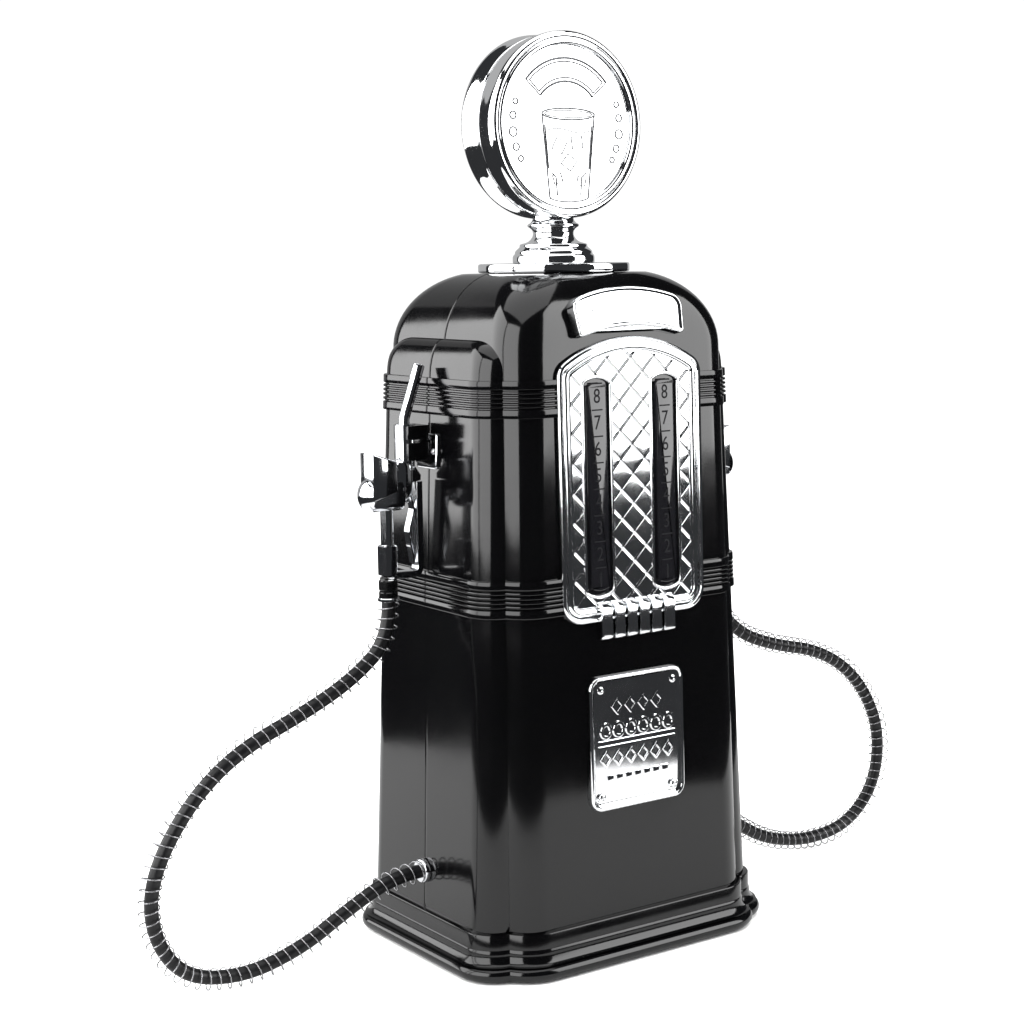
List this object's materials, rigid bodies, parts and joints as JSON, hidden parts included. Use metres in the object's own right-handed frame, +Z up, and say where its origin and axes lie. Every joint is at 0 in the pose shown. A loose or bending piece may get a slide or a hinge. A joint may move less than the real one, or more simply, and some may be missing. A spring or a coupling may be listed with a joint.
{
  "type": "tabletop drinks dispenser shaped like a gas pump",
  "caption": "Tabletop twin-nozzle drinks dispenser styled as an old gas pump, with chrome trim and globe and two hoses that loop down to the table.",
  "frame": {"origin": "on the table, at the centre of the base", "axes": "+Z up, -Y towards the front with the level windows, +X towards the right-hand nozzle"},
  "size_m": [0.5015, 0.157, 0.48],
  "materials": {
    "shell_plastic": "gloss black",
    "base_plastic": "gloss black",
    "under_plastic": "matt black",
    "rubber": "matt",
    "screw_steel": "bright zinc",
    "tank_plastic": "clear to milky",
    "silicone": "satin, translucent",
    "bright_chrome": "polished",
    "window_clear": "clear",
    "scale_white": "printed white",
    "badge_plastic": "gloss black",
    "black_metal": "gloss black",
    "hose_rubber": "matt black"
  },
  "bodies": {
    "pump_case": {"front_shell": "shell_plastic", "rear_shell": "shell_plastic", "base_skirt": "base_plastic", "base_plate": "under_plastic", "rubber_feet": "rubber", "base_screws": "screw_steel", "case_screws": "screw_steel", "tank_left": "tank_plastic", "tank_right": "tank_plastic", "inner_tube_left": "silicone", "inner_tube_right": "silicone", "hose_inlet_left": "bright_chrome", "hose_inlet_right": "bright_chrome", "front_panel": "bright_chrome", "window_lens_left": "window_clear", "window_lens_right": "window_clear", "level_scale_left": "scale_white", "level_scale_right": "scale_white", "lower_grille": "bright_chrome", "top_label": "bright_chrome", "lower_badge": "bright_chrome", "badge_screws": "screw_steel", "holder_plate_left": "bright_chrome", "holder_plate_right": "bright_chrome", "holder_clip_left": "badge_plastic", "holder_clip_right": "badge_plastic", "holder_screws": "screw_steel", "hose_left": "hose_rubber", "hose_right": "hose_rubber", "hose_guard_left": "bright_chrome", "hose_guard_right": "bright_chrome"},
    "lid": {"lid_plate": "bright_chrome", "lid_seal_left": "silicone", "lid_seal_right": "silicone", "neck": "bright_chrome", "neck_rod": "screw_steel", "neck_nuts": "screw_steel", "globe_front": "bright_chrome", "globe_rear": "bright_chrome", "globe_face_front": "bright_chrome", "globe_face_rear": "bright_chrome"},
    "nozzle_left": {"nozzle_body_left": "bright_chrome", "spout_left": "bright_chrome", "trigger_pin_left": "screw_steel", "handle_tube_left": "bright_chrome", "trigger_guard_left": "bright_chrome", "hose_fitting_left": "black_metal", "valve_spring_left": "screw_steel"},
    "trigger_left": {"trigger_left": "bright_chrome"},
    "plunger_left": {"valve_plunger_left": "screw_steel"},
    "nozzle_right": {"nozzle_body_right": "bright_chrome", "spout_right": "bright_chrome", "trigger_pin_right": "screw_steel", "handle_tube_right": "bright_chrome", "trigger_guard_right": "bright_chrome", "hose_fitting_right": "black_metal", "valve_spring_right": "screw_steel"},
    "trigger_right": {"trigger_right": "bright_chrome"},
    "plunger_right": {"valve_plunger_right": "screw_steel"}
  },
  "joints": [
    {"name": "lid_lift", "type": "slide", "parent": "pump_case", "child": "lid", "axis": [0, 0, 1], "range_m": [0, 0.07]},
    {"name": "nozzle_pull_left", "type": "slide", "parent": "pump_case", "child": "nozzle_left", "axis": [-1, 0, 0], "range_m": [0, 0.03]},
    {"name": "trigger_squeeze_left", "type": "hinge", "parent": "nozzle_left", "child": "trigger_left", "pos_m": [-0.0995, 0, 0.2482], "axis": [0, 1, 0], "range_deg": [0, 13], "stiffness_Nm_per_rad": 0.02, "springref_deg": -5.73},
    {"name": "plunger_push_left", "type": "slide", "parent": "nozzle_left", "child": "plunger_left", "axis": [-1, 0, 0], "range_m": [0, 0.0016]},
    {"name": "nozzle_pull_right", "type": "slide", "parent": "pump_case", "child": "nozzle_right", "axis": [1, 0, 0], "range_m": [0, 0.03]},
    {"name": "trigger_squeeze_right", "type": "hinge", "parent": "nozzle_right", "child": "trigger_right", "pos_m": [0.0995, 0, 0.2482], "axis": [0, -1, 0], "range_deg": [0, 13], "stiffness_Nm_per_rad": 0.02, "springref_deg": -5.73},
    {"name": "plunger_push_right", "type": "slide", "parent": "nozzle_right", "child": "plunger_right", "axis": [1, 0, 0], "range_m": [0, 0.0016]}
  ],
  "couplings": [
    {"joint": "plunger_push_left", "follows": "trigger_squeeze_left", "m_per_rad": 0.0067},
    {"joint": "plunger_push_right", "follows": "trigger_squeeze_right", "m_per_rad": 0.0067}
  ]
}
